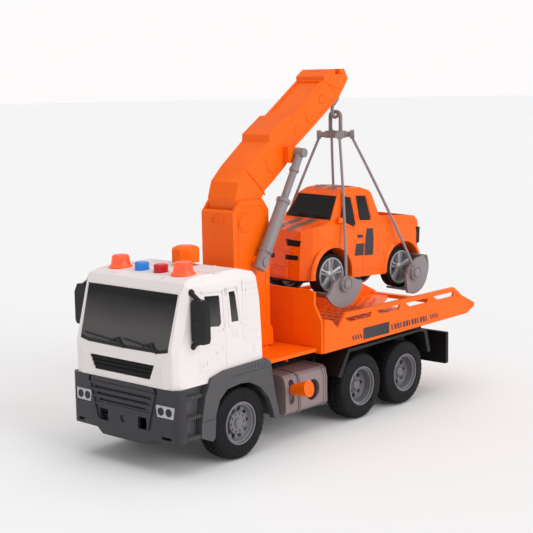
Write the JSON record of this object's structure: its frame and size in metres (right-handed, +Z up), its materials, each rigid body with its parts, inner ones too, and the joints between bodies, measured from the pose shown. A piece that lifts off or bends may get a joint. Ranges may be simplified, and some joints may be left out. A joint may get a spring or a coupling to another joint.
{
  "type": "toy tow truck",
  "caption": "Toy crane tow truck: rounded cab, slewing gooseneck boom whose sling carries a small pickup above a tilting ramp bed.",
  "frame": {"origin": "on the floor under the middle of the truck's overall length, in the middle plane", "axes": "+Z up, the nose faces -Y, the truck's left side is +X"},
  "size_m": [0.1174, 0.319, 0.2402],
  "materials": {
    "white_plastic": "satin",
    "orange_plastic": "semi-gloss",
    "dark_glazing": "gloss",
    "black_plastic": "matte",
    "dark_grey_plastic": "satin",
    "tank_grey_plastic": "satin",
    "light_grey_plastic": "satin",
    "sling_rope": "matte",
    "tyre_rubber": "matte",
    "silver_plastic": "metallic paint",
    "lens_plastic": "gloss",
    "beacon_plastic": "translucent",
    "blue_plastic": "satin",
    "red_plastic": "satin",
    "steel": "plain",
    "nylon": "matte",
    "board": "matte"
  },
  "bodies": {
    "truck": {"chassis": "black_plastic", "cab_shell": "white_plastic", "cab_glazing": "dark_glazing", "cab_grille": "black_plastic", "circuit_board": "board", "speaker": "black_plastic", "battery_box": "nylon", "battery_door": "black_plastic", "button_cells": "steel", "chassis_screws": "steel", "front_bumper": "dark_grey_plastic", "headlight_panels": "silver_plastic", "headlight_lenses": "lens_plastic", "fender_steps": "dark_grey_plastic", "side_box_left": "tank_grey_plastic", "side_box_right": "tank_grey_plastic", "rear_fenders": "black_plastic", "door_mirrors": "black_plastic", "roof_beacons": "beacon_plastic", "deck_plate": "orange_plastic", "drive_housing": "nylon", "hinge_pins": "steel"},
    "front_wheels": {"front_tyres": "tyre_rubber", "front_rims_axle": "silver_plastic"},
    "mid_wheels": {"mid_tyres": "tyre_rubber", "mid_rims_axle": "silver_plastic", "axle_gear": "nylon"},
    "rear_wheels": {"rear_tyres": "tyre_rubber", "rear_rims_axle": "silver_plastic"},
    "flywheel": {"flywheel_shaft": "nylon"},
    "blue_button": {"button_blue": "blue_plastic"},
    "red_button": {"button_red": "red_plastic"},
    "knob": {"roof_knob": "orange_plastic"},
    "bed": {"bed_tray": "orange_plastic", "headboard": "orange_plastic"},
    "lever": {"tilt_lever": "orange_plastic"},
    "crane_turret": {"turret": "orange_plastic", "turret_pins": "steel"},
    "crane_boom": {"boom": "orange_plastic", "boom_pins": "steel"},
    "barrel": {"ram_barrel": "light_grey_plastic"},
    "rod": {"ram_rod": "light_grey_plastic"},
    "crane_hook": {"hook": "light_grey_plastic"},
    "slings": {"spreader": "light_grey_plastic", "rope_front_left": "sling_rope", "rope_front_right": "sling_rope", "rope_rear_left": "sling_rope", "rope_rear_right": "sling_rope", "cradle_front_left": "light_grey_plastic", "cradle_front_right": "light_grey_plastic", "cradle_rear_left": "light_grey_plastic", "cradle_rear_right": "light_grey_plastic"},
    "pickup": {"pickup_body": "orange_plastic", "pickup_glazing": "dark_glazing", "pickup_trim": "black_plastic", "pickup_base": "black_plastic"},
    "pickup_front_wheels": {"pickup_tyres_front": "tyre_rubber", "pickup_rims_axle_front": "silver_plastic"},
    "pickup_rear_wheels": {"pickup_tyres_rear": "tyre_rubber", "pickup_rims_axle_rear": "silver_plastic"}
  },
  "joints": [
    {"name": "front_axle_spin", "type": "hinge", "parent": "truck", "child": "front_wheels", "pos_m": [0, -0.104, 0.023], "axis": [1, 0, 0], "continuous": true},
    {"name": "mid_axle_spin", "type": "hinge", "parent": "truck", "child": "mid_wheels", "pos_m": [0, 0.019, 0.023], "axis": [1, 0, 0], "continuous": true},
    {"name": "rear_axle_spin", "type": "hinge", "parent": "truck", "child": "rear_wheels", "pos_m": [0, 0.07, 0.023], "axis": [1, 0, 0], "continuous": true},
    {"name": "flywheel_spin", "type": "hinge", "parent": "truck", "child": "flywheel", "pos_m": [0, 0.019, 0.0308], "axis": [1, 0, 0], "continuous": true},
    {"name": "blue_button_press", "type": "slide", "parent": "truck", "child": "blue_button", "axis": [0, 0, -1], "range_m": [0, 0.0015], "stiffness_N_per_m": 200},
    {"name": "red_button_press", "type": "slide", "parent": "truck", "child": "red_button", "axis": [0, 0, -1], "range_m": [0, 0.0015], "stiffness_N_per_m": 200},
    {"name": "roof_knob_press", "type": "slide", "parent": "truck", "child": "knob", "axis": [0, 0, -1], "range_m": [0, 0.0015], "stiffness_N_per_m": 300},
    {"name": "bed_tilt", "type": "hinge", "parent": "truck", "child": "bed", "pos_m": [0, 0.099, 0.0502], "axis": [-1, 0, 0], "range_deg": [0, 3]},
    {"name": "lever_lift", "type": "hinge", "parent": "truck", "child": "lever", "pos_m": [0.0296, -0.0519, 0.031], "axis": [0, -1, 0], "range_deg": [0, 6]},
    {"name": "turret_slew", "type": "hinge", "parent": "truck", "child": "crane_turret", "pos_m": [0, -0.0555, 0.0582], "axis": [0, 0, 1], "range_deg": [-20, 20]},
    {"name": "boom_luff", "type": "hinge", "parent": "crane_turret", "child": "crane_boom", "pos_m": [0, -0.0617, 0.1418], "axis": [1, 0, 0], "range_deg": [0, 10]},
    {"name": "ram_tilt", "type": "hinge", "parent": "crane_turret", "child": "barrel", "pos_m": [0.02, -0.052, 0.116], "axis": [1, 0, 0], "range_deg": [-1, 10]},
    {"name": "ram_extend", "type": "slide", "parent": "barrel", "child": "rod", "axis": [0, 0.5026, 0.8645], "range_m": [-0.001, 0.01]},
    {"name": "hook_swing", "type": "hinge", "parent": "crane_boom", "child": "crane_hook", "pos_m": [0, 0.0465, 0.23], "axis": [1, 0, 0], "range_deg": [-12, 2]},
    {"name": "sling_swivel", "type": "hinge", "parent": "crane_hook", "child": "slings", "pos_m": [0, 0.051, 0.21], "axis": [0, 0, 1], "range_deg": [-5, 5]},
    {"name": "pickup_lift", "type": "slide", "parent": "slings", "child": "pickup", "axis": [0.0184, 0.0396, 0.999], "range_m": [0, 0.001]},
    {"name": "pickup_front_spin", "type": "hinge", "parent": "pickup", "child": "pickup_front_wheels", "pos_m": [0, 0.0172, 0.0992], "axis": [0.9979, -0.0622, -0.0159], "continuous": true},
    {"name": "pickup_rear_spin", "type": "hinge", "parent": "pickup", "child": "pickup_rear_wheels", "pos_m": [0.00463, 0.0923, 0.09614], "axis": [0.9979, -0.0622, -0.0159], "continuous": true}
  ],
  "couplings": [
    {"joint": "flywheel_spin", "follows": "mid_axle_spin", "ratio": -2},
    {"joint": "lever_lift", "follows": "bed_tilt", "ratio": 2},
    {"joint": "ram_tilt", "follows": "boom_luff", "ratio": 0.7689},
    {"joint": "ram_extend", "follows": "boom_luff", "m_per_rad": 0.020115},
    {"joint": "hook_swing", "follows": "boom_luff", "ratio": -1}
  ]
}
